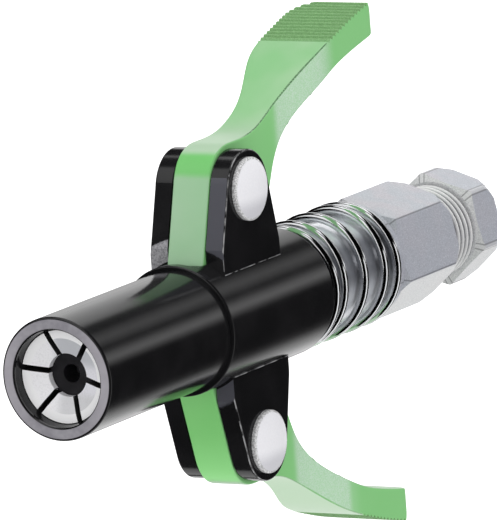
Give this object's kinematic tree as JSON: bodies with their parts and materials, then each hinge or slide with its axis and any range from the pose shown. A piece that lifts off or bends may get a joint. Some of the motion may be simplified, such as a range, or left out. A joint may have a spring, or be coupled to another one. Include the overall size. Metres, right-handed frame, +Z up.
{
  "type": "lever-release grease coupler",
  "caption": "Grease coupler with a sliding sleeve that closes jaws on a grease fitting, two squeeze levers that open them, a coil spring, and a hexagonal body with an inlet port.",
  "frame": {"origin": "centre of the inlet port's mouth, at the rear face of the inlet adapter", "axes": "+Y along the tool axis out of the inlet port, away from the nose; +X along the lever rivets; +Z up through the upper lever"},
  "size_m": [0.0192, 0.1162, 0.0784],
  "materials": {
    "sleeve": "gloss black",
    "lever": "satin green",
    "rivet": "satin",
    "body": "zinc plated",
    "adapter": "zinc plated",
    "jaw": "satin plated",
    "seal": "matt black",
    "carrier": "turned",
    "spring": "bright",
    "ball": "polished",
    "washer": "soft copper"
  },
  "bodies": {
    "body": {"main_body": "body", "inlet_adapter": "adapter", "sealing_washer": "washer", "valve_seat": "carrier", "check_spring": "spring", "seal_spring": "spring", "sleeve_spring": "spring"},
    "sleeve": {"front_sleeve": "sleeve", "rear_sleeve": "sleeve", "upper_rivet": "rivet", "lower_rivet": "rivet"},
    "upper_lever": {"upper_lever": "lever"},
    "lower_lever": {"lower_lever": "lever"},
    "seal": {"nose_seal": "seal", "seal_carrier": "carrier"},
    "check_ball": {"check_ball": "ball"},
    "jaw_1": {"jaw_1": "jaw"},
    "jaw_2": {"jaw_2": "jaw"},
    "jaw_3": {"jaw_3": "jaw"},
    "jaw_4": {"jaw_4": "jaw"},
    "jaw_5": {"jaw_5": "jaw"},
    "jaw_6": {"jaw_6": "jaw"}
  },
  "joints": [
    {"name": "sleeve_slide", "type": "slide", "parent": "body", "child": "sleeve", "axis": [0, 1, 0], "range_m": [0, 0.004], "stiffness_N_per_m": 2700, "springref_m": -0.008, "deforming": ["sleeve_spring"]},
    {"name": "upper_lever_hinge", "type": "hinge", "parent": "sleeve", "child": "upper_lever", "pos_m": [0, -0.07, 0.0187], "axis": [1, 0, 0], "range_deg": [-19, 0]},
    {"name": "lower_lever_hinge", "type": "hinge", "parent": "sleeve", "child": "lower_lever", "pos_m": [0, -0.07, -0.0187], "axis": [1, 0, 0], "range_deg": [0, 19]},
    {"name": "seal_slide", "type": "slide", "parent": "body", "child": "seal", "axis": [0, 1, 0], "range_m": [0, 0.0008], "stiffness_N_per_m": 1700, "springref_m": -0.001, "deforming": ["seal_spring"]},
    {"name": "check_ball_lift", "type": "slide", "parent": "body", "child": "check_ball", "axis": [0, -1, 0], "range_m": [0, 0.001], "stiffness_N_per_m": 1100, "springref_m": -0.001, "deforming": ["check_spring"]},
    {"name": "jaw_1_hinge", "type": "hinge", "parent": "body", "child": "jaw_1", "pos_m": [0.00283, -0.09915, 0.001], "axis": [-0.3338, 0, 0.9426], "range_deg": [0, 2.4]},
    {"name": "jaw_2_hinge", "type": "hinge", "parent": "body", "child": "jaw_2", "pos_m": [0.00055, -0.09915, 0.00295], "axis": [-0.9833, 0, 0.1822], "range_deg": [0, 2.4]},
    {"name": "jaw_3_hinge", "type": "hinge", "parent": "body", "child": "jaw_3", "pos_m": [-0.00228, -0.09915, 0.00195], "axis": [-0.6494, 0, -0.7604], "range_deg": [0, 2.4]},
    {"name": "jaw_4_hinge", "type": "hinge", "parent": "body", "child": "jaw_4", "pos_m": [-0.00283, -0.09915, -0.001], "axis": [0.3338, 0, -0.9426], "range_deg": [0, 2.4]},
    {"name": "jaw_5_hinge", "type": "hinge", "parent": "body", "child": "jaw_5", "pos_m": [-0.00055, -0.09915, -0.00295], "axis": [0.9833, 0, -0.1822], "range_deg": [0, 2.4]},
    {"name": "jaw_6_hinge", "type": "hinge", "parent": "body", "child": "jaw_6", "pos_m": [0.00228, -0.09915, -0.00195], "axis": [0.6494, 0, 0.7604], "range_deg": [0, 2.4]}
  ],
  "couplings": [
    {"joint": "upper_lever_hinge", "follows": "sleeve_slide", "rad_per_m": -82.903},
    {"joint": "lower_lever_hinge", "follows": "sleeve_slide", "rad_per_m": 82.903},
    {"joint": "jaw_1_hinge", "follows": "sleeve_slide", "rad_per_m": 10.472},
    {"joint": "jaw_2_hinge", "follows": "sleeve_slide", "rad_per_m": 10.472},
    {"joint": "jaw_3_hinge", "follows": "sleeve_slide", "rad_per_m": 10.472},
    {"joint": "jaw_4_hinge", "follows": "sleeve_slide", "rad_per_m": 10.472},
    {"joint": "jaw_5_hinge", "follows": "sleeve_slide", "rad_per_m": 10.472},
    {"joint": "jaw_6_hinge", "follows": "sleeve_slide", "rad_per_m": 10.472}
  ]
}
